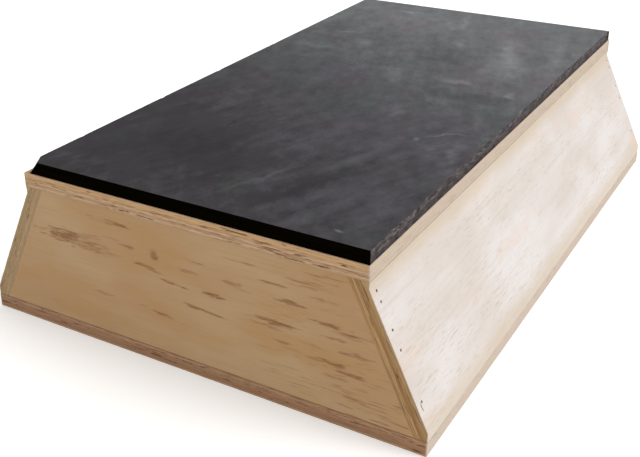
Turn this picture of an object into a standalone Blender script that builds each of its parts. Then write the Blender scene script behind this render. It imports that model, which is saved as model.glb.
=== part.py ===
"""A bench sharpening stone: a slate honing slab on a hollow, tapered plywood plinth.

Metres, +Z up, +Y along the slab. The origin is on the bench, under the middle of the base board.
The plinth is a deck board and a wider base board, joined by two sloping side panels and two
upright end panels. Brads through the boards hold it together.
"""

import math

import bmesh
import bpy
from mathutils import Matrix, Vector

# Driving sizes
LENGTH = 0.428             # of every board, along Y
DECK_WIDTH = 0.220
HEIGHT = 0.1065            # from the bench to the honing face
PLY = 0.009                # thickness of every plywood board
GAP = 0.0003               # left between faces that touch

# Honing slab and the film it is bedded on
SLAB_THICKNESS = 0.0071
SLAB_REAR_REVEAL = 0.004   # the slab is flush with the deck at the front and the right
SLAB_LEFT_REVEAL = 0.0055  # from the deck's left edge to the slab's dressed upper edge
SLAB_LEFT_FOOT = 0.003     # how far the dressed left edge stands out at its foot
SLAB_ARRIS = 0.0004
BED_THICKNESS = 0.0003
BED_MARGIN = 0.002

# Side panels: a short shoulder under the deck, the slope, then an upright toe over the base
FOLD_HEIGHT = 0.0857       # top of the slope
FOLD_INSET = 0.0002        # how far the shoulder leans in under the deck's edge
TOE_HEIGHT = 0.0142        # bottom of the slope
BASE_FLARE = 0.034         # how far the base stands out past the deck, each side
BOARD_ARRIS = 0.00025

# Brads
BRAD_LENGTH = 0.025
BRAD_SHANK_RADIUS = 0.0006
BRAD_HEAD_RADIUS = 0.0008
BRAD_HEAD_HEIGHT = 0.0006
BRAD_POINT = 0.0018
BRAD_SEGMENTS = 8
BRAD_SUNK = 0.001          # depth of the head below the board's face
HOLE_CLEARANCE = 0.0003
CORNER_BRADS = (0.04, 0.115, 0.31, 0.45, 0.81)  # places down the slope, as parts of its length
CORNER_BRAD_INSET = 0.0055                      # from the ends of the side panels
LONG_EDGE_BRADS = (-0.165, -0.055, 0.055, 0.165)  # along Y, through the deck or the base
DECK_END_BRADS = (-0.045, 0.045)                # along X
BASE_END_BRADS = (-0.075, 0.0, 0.075)           # along X
BASE_BRAD_INSET = 0.0035                        # from the base board's long edges

# Heights and places that follow
SLAB_BOTTOM = HEIGHT - SLAB_THICKNESS
SLAB_LENGTH = LENGTH - SLAB_REAR_REVEAL
SLAB_CENTRE_Y = -SLAB_REAR_REVEAL / 2
BED_TOP = SLAB_BOTTOM - GAP
DECK_TOP = BED_TOP - BED_THICKNESS - GAP
DECK_BOTTOM = DECK_TOP - PLY
WALL_TOP = DECK_BOTTOM - GAP
WALL_BOTTOM = PLY + GAP
DECK_HALF = DECK_WIDTH / 2
BASE_HALF = DECK_HALF + BASE_FLARE
FOLD_X = DECK_HALF - FOLD_INSET
SLOPE_RUN = BASE_HALF - FOLD_X
SLOPE_DROP = FOLD_HEIGHT - TOE_HEIGHT
SLOPE_LENGTH = math.hypot(SLOPE_RUN, SLOPE_DROP)
SLOPE_TAN = SLOPE_RUN / SLOPE_DROP
PANEL_ACROSS = PLY * SLOPE_LENGTH / SLOPE_DROP   # thickness of a panel measured along X
DOWN_SLOPE = Vector((SLOPE_RUN, 0, -SLOPE_DROP)).normalized()
OUT_OF_SLOPE = Vector((SLOPE_DROP, 0, SLOPE_RUN)).normalized()


def clear_scene():
    for obj in list(bpy.data.objects):
        bpy.data.objects.remove(obj, do_unlink=True)


def new_collection(name):
    collection = bpy.data.collections.new(name)
    bpy.context.scene.collection.children.link(collection)
    return collection


def new_material(name, color, roughness, metallic=0.0):
    material = bpy.data.materials.new(name)
    material.use_nodes = True
    shader = material.node_tree.nodes["Principled BSDF"]
    shader.inputs["Base Color"].default_value = (*color, 1.0)
    shader.inputs["Roughness"].default_value = roughness
    shader.inputs["Metallic"].default_value = metallic
    return material


def set_material(obj, material):
    obj.data.materials.clear()
    obj.data.materials.append(material)


def move_to(obj, collection):
    for owner in list(obj.users_collection):
        owner.objects.unlink(obj)
    collection.objects.link(obj)


def add_box(name, size, centre, collection, material):
    bpy.ops.mesh.primitive_cube_add(size=1.0, location=centre)
    obj = bpy.context.active_object
    obj.name = name
    obj.data.name = name
    obj.data.transform(Matrix.Diagonal((*size, 1.0)))
    move_to(obj, collection)
    set_material(obj, material)
    return obj


def slope_face_x(height):
    """X of the sloping outer face, on the right, at a height."""
    return FOLD_X + (FOLD_HEIGHT - height) * SLOPE_TAN


def add_cross_section(name, outline, length, centre_y, collection, material):
    """Extrude an outline of (x, z) points along Y."""
    curve = bpy.data.curves.new(name, "CURVE")
    curve.dimensions = "2D"
    curve.fill_mode = "BOTH"
    curve.extrude = length / 2
    spline = curve.splines.new("POLY")
    spline.points.add(len(outline) - 1)
    for point, (x, z) in zip(spline.points, outline):
        point.co = (x, z, 0, 1)
    spline.use_cyclic_u = True
    guide = bpy.data.objects.new(name + "_outline", curve)
    guide.matrix_world = Matrix.Translation((0, centre_y, 0)) @ Matrix.Rotation(math.radians(90), 4, "X")
    collection.objects.link(guide)
    bpy.context.view_layer.update()

    evaluated = guide.evaluated_get(bpy.context.evaluated_depsgraph_get())
    mesh = bpy.data.meshes.new_from_object(evaluated)
    mesh.name = name
    weld = bmesh.new()
    weld.from_mesh(mesh)
    bmesh.ops.remove_doubles(weld, verts=weld.verts, dist=0.00001)
    weld.to_mesh(mesh)
    weld.free()
    obj = bpy.data.objects.new(name, mesh)
    obj.matrix_world = guide.matrix_world
    bpy.data.objects.remove(guide, do_unlink=True)
    collection.objects.link(obj)
    set_material(obj, material)
    return obj


def ease_edges(obj, width):
    bevel = obj.modifiers.new("eased_edges", "BEVEL")
    bevel.width = width
    bevel.segments = 1
    bevel.limit_method = "ANGLE"


def drill(obj, cutters):
    holes = obj.modifiers.new("brad_holes", "BOOLEAN")
    holes.operation = "DIFFERENCE"
    holes.operand_type = "COLLECTION"
    holes.collection = cutters
    holes.solver = "EXACT"


def mirrored(outline):
    return [(-x, z) for x, z in reversed(outline)]


def brad_mesh(material):
    """Turn a brad about Z: its head is at the top, z = 0, and its point is down."""
    profile = bpy.data.meshes.new("brad_profile")
    outline = [
        (0, 0),
        (BRAD_HEAD_RADIUS, 0),
        (BRAD_HEAD_RADIUS, -BRAD_HEAD_HEIGHT),
        (BRAD_SHANK_RADIUS, -BRAD_HEAD_HEIGHT - 0.0002),
        (BRAD_SHANK_RADIUS, BRAD_POINT - BRAD_LENGTH),
        (0, -BRAD_LENGTH),
    ]
    edges = [(i, i + 1) for i in range(len(outline) - 1)]
    profile.from_pydata([(r, 0, z) for r, z in outline], edges, [])
    turned = bpy.data.objects.new("brad_profile", profile)
    bpy.context.scene.collection.objects.link(turned)
    screw = turned.modifiers.new("turned", "SCREW")
    screw.axis = "Z"
    screw.steps = BRAD_SEGMENTS
    screw.render_steps = BRAD_SEGMENTS
    screw.use_merge_vertices = True
    screw.merge_threshold = 0.00001
    bpy.context.view_layer.update()
    evaluated = turned.evaluated_get(bpy.context.evaluated_depsgraph_get())
    mesh = bpy.data.meshes.new_from_object(evaluated)
    mesh.name = "brad"
    mesh.shade_smooth()
    mesh.set_sharp_from_angle(angle=math.radians(40))
    mesh.materials.clear()
    mesh.materials.append(material)
    bpy.data.objects.remove(turned, do_unlink=True)
    return mesh


def add_brad(name, mesh, face_point, inward, parts, cutters):
    """Drive a brad into a board's face at face_point, and add the cutter of its hole."""
    turn = (-inward).to_track_quat("Z", "Y").to_matrix().to_4x4()
    brad = bpy.data.objects.new(name, mesh)
    brad.matrix_world = Matrix.Translation(face_point + inward * BRAD_SUNK) @ turn
    parts.objects.link(brad)

    above = 0.002
    depth = BRAD_SUNK + BRAD_LENGTH + HOLE_CLEARANCE
    radius = BRAD_HEAD_RADIUS + HOLE_CLEARANCE
    bpy.ops.mesh.primitive_cylinder_add(vertices=BRAD_SEGMENTS, radius=radius, depth=depth + above)
    cutter = bpy.context.active_object
    cutter.name = name + "_hole"
    cutter.matrix_world = Matrix.Translation(face_point + inward * (depth - above) / 2) @ turn
    cutter.hide_render = True
    cutter.display_type = "WIRE"
    move_to(cutter, cutters)


def add_corner_brads(mesh, parts, cutters):
    """Five brads down each corner, through a sloping panel into the edge of an end panel."""
    for side_name, side in (("right", 1), ("left", -1)):
        inward = Vector((-OUT_OF_SLOPE.x * side, 0, -OUT_OF_SLOPE.z))
        for end_name, end in (("front", -1), ("rear", 1)):
            for number, part in enumerate(CORNER_BRADS, start=1):
                x = (FOLD_X + SLOPE_RUN * part) * side
                y = (LENGTH / 2 - CORNER_BRAD_INSET) * end
                z = FOLD_HEIGHT - SLOPE_DROP * part
                name = f"brad_{end_name}_{side_name}_{number}"
                add_brad(name, mesh, Vector((x, y, z)), inward, parts, cutters)


def add_deck_brads(mesh, parts, cutters):
    """Brads down through the deck: along the side panels' slope, and upright into the end panels."""
    for side_name, side in (("right", 1), ("left", -1)):
        inward = Vector((DOWN_SLOPE.x * side, 0, DOWN_SLOPE.z))
        middle = slope_face_x(DECK_TOP) - PANEL_ACROSS / 2
        for number, y in enumerate(LONG_EDGE_BRADS, start=1):
            name = f"brad_deck_{side_name}_{number}"
            add_brad(name, mesh, Vector((middle * side, y, DECK_TOP)), inward, parts, cutters)
    for end_name, end in (("front", -1), ("rear", 1)):
        for number, x in enumerate(DECK_END_BRADS, start=1):
            y = (LENGTH - PLY) / 2 * end
            name = f"brad_deck_{end_name}_{number}"
            add_brad(name, mesh, Vector((x, y, DECK_TOP)), Vector((0, 0, -1)), parts, cutters)


def add_base_brads(mesh, parts, cutters):
    """Brads up through the base board: leaning into the side panels, and upright into the end panels."""
    start_x = BASE_HALF - BASE_BRAD_INSET
    aim_x = slope_face_x(BRAD_LENGTH) - PANEL_ACROSS / 2
    for side_name, side in (("right", 1), ("left", -1)):
        inward = Vector(((aim_x - start_x) * side, 0, BRAD_LENGTH)).normalized()
        for number, y in enumerate(LONG_EDGE_BRADS, start=1):
            name = f"brad_base_{side_name}_{number}"
            add_brad(name, mesh, Vector((start_x * side, y, 0)), inward, parts, cutters)
    for end_name, end in (("front", -1), ("rear", 1)):
        for number, x in enumerate(BASE_END_BRADS, start=1):
            y = (LENGTH - PLY) / 2 * end
            name = f"brad_base_{end_name}_{number}"
            add_brad(name, mesh, Vector((x, y, 0)), Vector((0, 0, 1)), parts, cutters)


def add_boards(parts, ply):
    """The deck, the base, two sloping side panels and two upright end panels."""
    deck_size = (DECK_WIDTH, LENGTH, PLY)
    base_size = (BASE_HALF * 2, LENGTH, PLY)
    boards = [
        add_box("deck_board", deck_size, (0, 0, DECK_BOTTOM + PLY / 2), parts, ply["deck"]),
        add_box("base_board", base_size, (0, 0, PLY / 2), parts, ply["base"]),
    ]

    panel = [
        (DECK_HALF, WALL_TOP),
        (slope_face_x(WALL_TOP) - PANEL_ACROSS, WALL_TOP),
        (slope_face_x(WALL_BOTTOM) - PANEL_ACROSS, WALL_BOTTOM),
        (BASE_HALF, WALL_BOTTOM),
        (BASE_HALF, TOE_HEIGHT),
        (FOLD_X, FOLD_HEIGHT),
    ]
    for name, outline in (("side_panel_right", panel), ("side_panel_left", mirrored(panel))):
        boards.append(add_cross_section(name, outline, LENGTH, 0, parts, ply["side"]))

    inner = PANEL_ACROSS + GAP * PANEL_ACROSS / PLY
    top_x = slope_face_x(WALL_TOP) - inner
    bottom_x = slope_face_x(WALL_BOTTOM) - inner
    trapezoid = [(top_x, WALL_TOP), (-top_x, WALL_TOP), (-bottom_x, WALL_BOTTOM), (bottom_x, WALL_BOTTOM)]
    for name, end in (("end_panel_front", -1), ("end_panel_rear", 1)):
        middle_y = (LENGTH - PLY) / 2 * end
        boards.append(add_cross_section(name, trapezoid, PLY, middle_y, parts, ply["end"]))
    return boards


def add_slab(parts, slate, adhesive):
    left_top = -DECK_HALF + SLAB_LEFT_REVEAL
    left_foot = left_top - SLAB_LEFT_FOOT
    outline = [
        (DECK_HALF, HEIGHT),
        (left_top, HEIGHT),
        (left_foot, SLAB_BOTTOM),
        (DECK_HALF, SLAB_BOTTOM),
    ]
    slab = add_cross_section("honing_slab", outline, SLAB_LENGTH, SLAB_CENTRE_Y, parts, slate)
    ease_edges(slab, SLAB_ARRIS)

    bed_width = DECK_HALF - left_foot - 2 * BED_MARGIN
    bed_size = (bed_width, SLAB_LENGTH - 2 * BED_MARGIN, BED_THICKNESS)
    bed_centre = ((DECK_HALF + left_foot) / 2, SLAB_CENTRE_Y, BED_TOP - BED_THICKNESS / 2)
    add_box("bedding_adhesive", bed_size, bed_centre, parts, adhesive)


def main():
    clear_scene()
    parts = new_collection("sharpening_stone")
    cutters = new_collection("brad_hole_cutters")
    slate = new_material("slate", (0.065, 0.070, 0.074), 0.55)
    adhesive = new_material("adhesive", (0.35, 0.30, 0.22), 0.6)
    steel = new_material("brad_steel", (0.25, 0.24, 0.23), 0.45, 1.0)
    ply = {
        "deck": new_material("deck_plywood", (0.48, 0.35, 0.22), 0.7),
        "side": new_material("side_plywood", (0.80, 0.71, 0.62), 0.7),
        "end": new_material("end_plywood", (0.55, 0.41, 0.27), 0.7),
        "base": new_material("base_plywood", (0.45, 0.31, 0.20), 0.7),
    }

    add_slab(parts, slate, adhesive)
    boards = add_boards(parts, ply)
    mesh = brad_mesh(steel)
    add_corner_brads(mesh, parts, cutters)
    add_deck_brads(mesh, parts, cutters)
    add_base_brads(mesh, parts, cutters)
    for board in boards:
        ease_edges(board, BOARD_ARRIS)
        drill(board, cutters)


main()
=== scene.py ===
"""Looks of a bench sharpening stone: a slate honing slab on a tapered plywood plinth.

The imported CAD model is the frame. The slab, its bed and the boards are rebuilt here with worn and
chipped edges, plies and core gaps; the brads keep their CAD shapes. Metres, +Z up, +Y along the slab.
"""

import math

import bmesh
import bpy
import numpy as np
from mathutils import Matrix, Vector


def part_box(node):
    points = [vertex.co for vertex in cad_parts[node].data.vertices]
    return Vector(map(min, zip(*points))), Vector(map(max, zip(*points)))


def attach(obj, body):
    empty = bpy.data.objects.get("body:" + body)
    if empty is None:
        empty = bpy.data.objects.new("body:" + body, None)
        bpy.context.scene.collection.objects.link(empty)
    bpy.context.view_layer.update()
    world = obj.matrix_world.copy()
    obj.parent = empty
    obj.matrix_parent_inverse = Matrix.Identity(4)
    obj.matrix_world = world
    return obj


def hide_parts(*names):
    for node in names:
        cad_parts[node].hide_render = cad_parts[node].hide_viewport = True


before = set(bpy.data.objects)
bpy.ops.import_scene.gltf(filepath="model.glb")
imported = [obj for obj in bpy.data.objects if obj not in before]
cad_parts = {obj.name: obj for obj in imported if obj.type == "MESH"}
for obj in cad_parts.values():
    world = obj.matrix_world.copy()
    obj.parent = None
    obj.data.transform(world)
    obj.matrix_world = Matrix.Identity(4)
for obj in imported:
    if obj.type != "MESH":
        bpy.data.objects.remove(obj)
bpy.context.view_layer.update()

MM = 0.001
SLAB_LOW, SLAB_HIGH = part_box("honing_slab")
DECK_LOW, DECK_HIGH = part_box("deck_board")
BASE_LOW, BASE_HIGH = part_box("base_board")
PANEL_LOW, PANEL_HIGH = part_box("side_panel_right")
PLY = DECK_HIGH.z - DECK_LOW.z
TIGHT = 0.06 * MM                    # what is left of a glued joint's gap
DECK_FOOT = DECK_LOW.z - TIGHT
BASE_TOP = BASE_HIGH.z + TIGHT
SLAB_FOOT = DECK_HIGH.z + 0.14 * MM  # the bed is squeezed thin under the slab's edges
SLAB_LEAN = 3.0 * MM                 # how far the dressed left edge stands out at its foot
PLY_SEAMS = (0.155, 0.385, 0.615, 0.845)   # glue lines, as parts of a board's thickness

# The side panels' outline, from the boards that they meet
FOLD_X = DECK_HIGH.x - 0.2 * MM
FOLD_Z = PANEL_HIGH.z - 3.5 * MM
TOE_X = BASE_HIGH.x
TOE_Z = PANEL_LOW.z + 4.9 * MM
SLOPE_TAN = (TOE_X - FOLD_X) / (FOLD_Z - TOE_Z)
SLOPE_COS = 1 / math.hypot(1, SLOPE_TAN)
PANEL_ACROSS = PLY / SLOPE_COS
BRAD_HOLE_RADIUS = 0.72 * MM
SCAR_Y = DECK_LOW.y + 3.6 * MM


# ---------------------------------------------------------------- numbers

def lattice_noise(x, y, seed):
    """Smooth noise of two arrays, from -1 to 1, with features one unit wide."""
    x, y = np.broadcast_arrays(np.asarray(x, float), np.asarray(y, float))
    column, row = np.floor(x).astype(np.int64), np.floor(y).astype(np.int64)
    across, up = x - column, y - row
    across = across * across * (3 - 2 * across)
    up = up * up * (3 - 2 * up)

    def corner(right, top):
        mixed = (column + right) * 374761393 + (row + top) * 668265263 + seed * 144269504
        mixed = (mixed ^ (mixed >> 13)) * 1274126177
        return ((mixed ^ (mixed >> 16)) & 0xFFFF) / 32767.5 - 1

    low = corner(0, 0) * (1 - across) + corner(1, 0) * across
    high = corner(0, 1) * (1 - across) + corner(1, 1) * across
    return low * (1 - up) + high * up


def rough_noise(x, y, seed):
    """Three layers of noise, each twice as fine and half as strong as the one before."""
    total, weight = 0, 1
    for octave in range(3):
        total = total + weight * lattice_noise(x * 2 ** octave, y * 2 ** octave, seed + octave)
        weight /= 2
    return total


def smooth_step(value, low, high):
    part = np.clip((value - low) / (high - low), 0, 1)
    return part * part * (3 - 2 * part)


# ---------------------------------------------------------------- meshes

def mesh_object(name, points, faces, slots, materials, attributes=None, sharp_degrees=35):
    """A mesh with one material slot number for each face, and named values at its points."""
    mesh = bpy.data.meshes.new(name)
    mesh.from_pydata([tuple(p) for p in points], [], faces)
    for material in materials:
        mesh.materials.append(material)
    mesh.polygons.foreach_set("material_index", slots)
    for label, values in (attributes or {}).items():
        layer = mesh.attributes.new(label, "FLOAT", "POINT")
        layer.data.foreach_set("value", np.asarray(values, np.float32))
    shape = bmesh.new()
    shape.from_mesh(mesh)
    bmesh.ops.recalc_face_normals(shape, faces=shape.faces)
    shape.to_mesh(mesh)
    shape.free()
    mesh.shade_smooth()
    mesh.set_sharp_from_angle(angle=math.radians(sharp_degrees))
    obj = bpy.data.objects.new(name, mesh)
    bpy.context.scene.collection.objects.link(obj)
    return obj


def settle(obj, nodes):
    """The piece rides on the object's one body and stands for these CAD nodes."""
    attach(obj, "root")
    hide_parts(*nodes)


def rim_points(corners, spacing):
    """Columns of points round a four-sided board, from four corner columns of the same length.

    Returns the points (column, row, xyz), each column's side from 0 to 3, and its place along that side.
    """
    columns, sides, along = [], [], []
    for side in range(4):
        start, end = corners[side], corners[(side + 1) % 4]
        length = np.linalg.norm(end[len(end) // 2] - start[len(start) // 2])
        count = max(2, round(length / spacing))
        for step in range(count):
            part = step / count
            columns.append(start * (1 - part) + end * part)
            sides.append(side)
            along.append(part * length)
    return np.array(columns), np.array(sides), np.array(along)


def rim_faces(column_count, row_count):
    """Quads round the rim, then one flat face over each end of the columns."""
    faces = []
    for column in range(column_count):
        after = (column + 1) % column_count
        for row in range(row_count - 1):
            faces.append((
                column * row_count + row,
                column * row_count + row + 1,
                after * row_count + row + 1,
                after * row_count + row,
            ))
    faces.append([column * row_count for column in range(column_count)])
    faces.append([column * row_count + row_count - 1 for column in reversed(range(column_count))])
    return faces


def box_corners(low, high, rows, left_lean=0.0):
    """Corner columns of a board. Each row is (inset, height above low.z). The left side may lean in."""
    corners = []
    for x_side, y_side in ((0, 0), (1, 0), (1, 1), (0, 1)):
        column = []
        for inset, rise in rows:
            lean = left_lean * rise / (high.z - low.z)
            x = high.x - inset if x_side else low.x + inset + lean
            y = high.y - inset if y_side else low.y + inset
            column.append((x, y, low.z + rise))
        corners.append(np.array(column))
    return corners


SIDE_NORMALS = np.array([(0, -1, 0), (1, 0, 0), (0, 1, 0), (-1, 0, 0)], float)


# ---------------------------------------------------------------- plywood edges

class CoreGaps:
    """Gaps, splits and torn fibres in a board's edge, which lie along its plies."""

    def __init__(self, seed, length, count):
        random = np.random.default_rng(seed)
        self.places = []
        for _ in range(count):
            seam = PLY_SEAMS[random.integers(0, 4)] + random.normal(0, 0.035)
            half_length = (1.2 + 7.5 * random.random() ** 2.5) * MM
            half_height = (0.16 + 0.24 * random.random()) * MM
            depth = (0.15 + 0.35 * random.random()) * MM
            tilt = random.normal(0, 0.012)
            self.places.append((random.random() * length, seam, half_length, half_height, depth, tilt))
        self.seed = seed

    def depth(self, along, part):
        """How deep the gaps are, in metres, along an edge and at a part of its thickness."""
        total = np.zeros(np.broadcast(along, part).shape)
        ragged = 0.35 * lattice_noise(along / (0.9 * MM), part * 14, self.seed + 50)
        for centre, seam, half_length, half_height, depth, tilt in self.places:
            across = (part - seam) * PLY - tilt * (along - centre)
            reach = ((along - centre) / half_length) ** 2 + (across / half_height) ** 2
            total = np.maximum(total, depth * smooth_step(1.15 - reach + ragged, 0, 0.75))
        return total


def ply_relief(along, part, seed):
    """How far an edge is sawn back at each place: every ply a little, and a groove at each seam."""
    ply = np.searchsorted(PLY_SEAMS, part)
    back = 0.05 * MM * (1 + lattice_noise(along / (23 * MM), ply * 7.3, seed))
    back = back + 0.035 * MM * (1 + lattice_noise(along / (0.8 * MM), part * 20, seed + 1))
    for seam in PLY_SEAMS:
        groove = np.clip(1 - np.abs(part - seam) * PLY / (0.22 * MM), 0, 1)
        back = back + 0.07 * MM * groove
    return back


def flat_board(name, low, high, materials, seed, gap_counts):
    """A horizontal plywood board. materials are (edge, top face, underside)."""
    arris = 0.22 * MM
    step = 0.3 * MM
    row_count = round(PLY / step)
    thick = high.z - low.z
    rows = [(arris, thick)]
    rows += [(0, thick - arris - (thick - 2 * arris) * i / row_count) for i in range(row_count + 1)]
    rows += [(arris * 0.25, 0)]
    points, sides, along = rim_points(box_corners(low, high, rows), 1.2 * MM)
    part = np.clip((high.z - points[:, :, 2]) / thick, 0, 1)
    depth = np.zeros(part.shape)
    end_grain = np.isin(sides, (0, 2)).astype(float)
    for side in range(4):
        chosen = sides == side
        length = along[chosen].max()
        gaps = CoreGaps(seed + side, length, gap_counts[side])
        place = along[chosen][:, None]
        near_corner = smooth_step(np.minimum(place, length - place), 0, 1.5 * MM)
        gap_depth = gaps.depth(place, part[chosen]) * near_corner
        depth[chosen] = gap_depth
        back = ply_relief(place, part[chosen], seed + 9 * side) * near_corner + gap_depth
        points[chosen] -= back[:, :, None] * SIDE_NORMALS[side]
    nibble = np.clip(0.1 * MM * (1 + rough_noise(along / (4 * MM), sides * 3.7, seed + 77)), 0, 0.2 * MM)
    points[:, 1, 2] -= nibble
    points[:, 0] -= nibble[:, None] * SIDE_NORMALS[sides]
    faces = rim_faces(*part.shape)
    slots = [0] * (len(faces) - 2) + [1, 2]
    values = {
        "part": part.ravel(),
        "gap": np.clip(depth / (0.5 * MM), 0, 1).ravel(),
        "end_grain": np.repeat(end_grain, part.shape[1]),
    }
    return mesh_object(name, points.reshape(-1, 3), faces, slots, materials, values)


def slope_x(height):
    """X of the right side panel's outer face at a height, as if it had no shoulder or toe."""
    return FOLD_X + (FOLD_Z - height) * SLOPE_TAN


def outer_x(height):
    """X of the right side panel's outer outline at a height."""
    shoulder = FOLD_X + (height - FOLD_Z) / (PANEL_HIGH.z - FOLD_Z) * (DECK_HIGH.x - FOLD_X)
    return np.where(height > FOLD_Z, shoulder, np.minimum(slope_x(height), TOE_X))


def side_panel(name, side, materials, seed):
    """A sloping panel: both ends are fine grids that show its plies, joined by long flat strips."""
    heights = np.concatenate([
        [DECK_FOOT, PANEL_HIGH.z, FOLD_Z],
        np.linspace(FOLD_Z, TOE_Z, 64)[1:],
        [PANEL_LOW.z, BASE_TOP],
    ])
    levels = len(heights)
    parts = np.linspace(0, 1, 31)
    z = np.repeat(heights[:, None], len(parts), 1)
    outside = outer_x(z)
    inside = slope_x(z) - PANEL_ACROSS
    x = outside + (inside - outside) * parts
    true_part = np.clip((slope_x(z) - x) / PANEL_ACROSS, 0, 1)
    down = (FOLD_Z - z) / SLOPE_COS
    ends, gap_values = [], []
    for end, end_y in ((-1, DECK_LOW.y), (1, DECK_HIGH.y)):
        gaps = CoreGaps(seed + end, down.max(), 6)
        edge_fade = smooth_step(np.minimum(down - down.min(), down.max() - down), 0, 1.2 * MM)
        gap_depth = gaps.depth(down, true_part) * edge_fade
        back = ply_relief(down, true_part, seed + 3 * end) + gap_depth
        y = end_y - end * back
        grid = np.stack([x, y, z], -1)
        nibble = 0.22 * MM * (1 + 0.8 * rough_noise(heights / (3 * MM), 0.5, seed + 5 * end))
        nibble = np.clip(nibble, 0, 0.2 * MM)
        grid[:, 0, 0] -= nibble
        ends.append(grid)
        gap_values.append(np.clip(gap_depth / (0.5 * MM), 0, 1))
    front, rear = ends
    count = levels * len(parts)
    arris = []
    for end, end_y in ((-1, DECK_LOW.y), (1, DECK_HIGH.y)):
        ease = 0.28 * MM * (1 + 0.8 * rough_noise(heights / (3.5 * MM), 2.5, seed + 7 * end))
        arris.append(np.stack([outer_x(heights), end_y - end * ease, heights], -1))
    points = np.concatenate([front.reshape(-1, 3), rear.reshape(-1, 3), arris[0], arris[1]])
    points[:, 0] *= side

    def at(end, level, row):
        return end * count + level * len(parts) + row

    faces, slots = [], []
    for end in (0, 1):
        for level in range(levels - 1):
            for row in range(len(parts) - 1):
                faces.append((at(end, level, row), at(end, level + 1, row),
                              at(end, level + 1, row + 1), at(end, level, row + 1)))
                slots.append(0)
    last = len(parts) - 1
    for level in range(levels - 1):
        front_arris = 2 * count + level
        rear_arris = front_arris + levels
        faces.append((at(0, level, 0), at(0, level + 1, 0), front_arris + 1, front_arris))
        faces.append((front_arris, front_arris + 1, rear_arris + 1, rear_arris))
        faces.append((rear_arris, rear_arris + 1, at(1, level + 1, 0), at(1, level, 0)))
        faces.append((at(0, level, last), at(0, level + 1, last), at(1, level + 1, last), at(1, level, last)))
        slots += [1, 1, 1, 1]
    for level in (0, levels - 1):
        for row in range(last):
            faces.append((at(0, level, row), at(0, level, row + 1), at(1, level, row + 1), at(1, level, row)))
            slots.append(0)
        arris_front = 2 * count + level
        faces.append((at(0, level, 0), at(1, level, 0), arris_front + levels, arris_front))
        slots.append(0)
    zeros = np.zeros(2 * levels)
    values = {
        "part": np.concatenate([true_part.ravel(), true_part.ravel(), zeros]),
        "gap": np.concatenate([gap_values[0].ravel(), gap_values[1].ravel(), zeros]),
        "end_grain": np.concatenate([np.ones(2 * count), zeros]),
    }
    panel = mesh_object(name, points, faces, slots, materials, values, sharp_degrees=16)
    for polygon in panel.data.polygons:
        polygon.use_smooth = polygon.material_index == 0
    return panel


# ---------------------------------------------------------------- end panels

# The main brown flecks of the front panel: middle (x, z), half length and height, strength, tilt; millimetres
FRONT_FLECKS = (
    (-85, 64.5, 15, 4.4, 1.00, -0.02),
    (-66, 63.0, 16, 4.2, 0.62, -0.05),
    (-70, 68.5, 20, 1.6, 0.45, 0.03),
    (-43, 81.6, 8, 1.1, 0.80, -0.06),
    (-52, 80.5, 9, 0.8, 0.60, -0.05),
    (-64, 82.5, 8, 0.7, 0.50, 0.00),
    (-38, 69.5, 8, 1.5, 0.65, -0.04),
    (-47, 71.5, 9, 0.9, 0.45, -0.04),
    (-19.7, 69.0, 2.6, 3.8, 0.95, 0.0),
    (-27.0, 61.0, 8, 1.3, 0.90, -0.10),
    (-19.5, 59.0, 6, 0.9, 0.75, -0.12),
    (-8, 54.8, 9, 0.8, 0.95, -0.06),
    (1.5, 65.3, 7, 1.2, 0.55, 0.0),
    (8, 72.2, 6, 0.9, 0.60, -0.03),
    (19, 55.3, 6.5, 1.4, 0.95, -0.06),
    (29, 66.4, 7, 1.9, 0.55, 0.02),
    (36, 63.5, 6, 1.0, 0.45, 0.0),
    (12.8, 44.0, 15, 0.9, 0.85, -0.05),
    (55, 50.6, 13, 1.7, 0.95, -0.03),
    (50, 47.5, 12, 0.9, 0.60, -0.03),
    (66, 65.0, 11, 1.3, 0.85, -0.02),
    (57, 73.3, 7, 0.9, 0.75, -0.02),
    (60, 40.2, 8, 0.9, 0.60, -0.04),
    (88, 59.0, 9, 1.3, 0.95, -0.04),
    (100, 56.0, 9, 1.2, 0.85, -0.05),
    (93, 52.0, 8, 0.9, 0.70, -0.03),
    (103, 46.0, 8, 1.8, 0.70, 0.0),
    (90, 37.0, 9, 1.2, 0.95, -0.03),
    (101, 33.5, 13, 1.3, 0.90, -0.04),
    (96, 29.0, 8, 0.9, 0.60, -0.03),
    (-57.5, 34.5, 7, 1.2, 0.75, -0.05),
    (-17, 33.0, 14, 1.0, 0.80, -0.10),
    (103, 19.5, 5, 1.0, 0.75, -0.05),
    (97, 14.0, 7, 1.2, 0.50, 0.0),
    (88, 72.0, 10, 0.9, 0.65, -0.04),
    (74, 79.0, 12, 0.8, 0.60, -0.03),
    (40, 80.5, 14, 0.7, 0.50, 0.0),
)


def random_flecks(seed, count):
    random = np.random.default_rng(seed)
    found = []
    for _ in range(count):
        place = (random.uniform(-110, 110), random.uniform(14, 84))
        found.append((*place, random.uniform(3, 14), random.uniform(0.6, 1.9), random.uniform(0.3, 0.9), 0.0))
    return found


def fleck_mask(x, z, flecks, seed):
    total = np.zeros(x.shape)
    ragged = 0.55 * rough_noise(x / (6 * MM), z / (0.75 * MM), seed)
    for middle_x, middle_z, half_length, half_height, strength, tilt in flecks:
        along = (x - middle_x * MM) / (half_length * MM)
        across = (z - middle_z * MM - tilt * (x - middle_x * MM)) / (half_height * MM)
        reach = np.sqrt(along ** 2 + across ** 2)
        total = np.maximum(total, strength * smooth_step(1.3 - reach + ragged, 0, 0.8))
    return total


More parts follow.
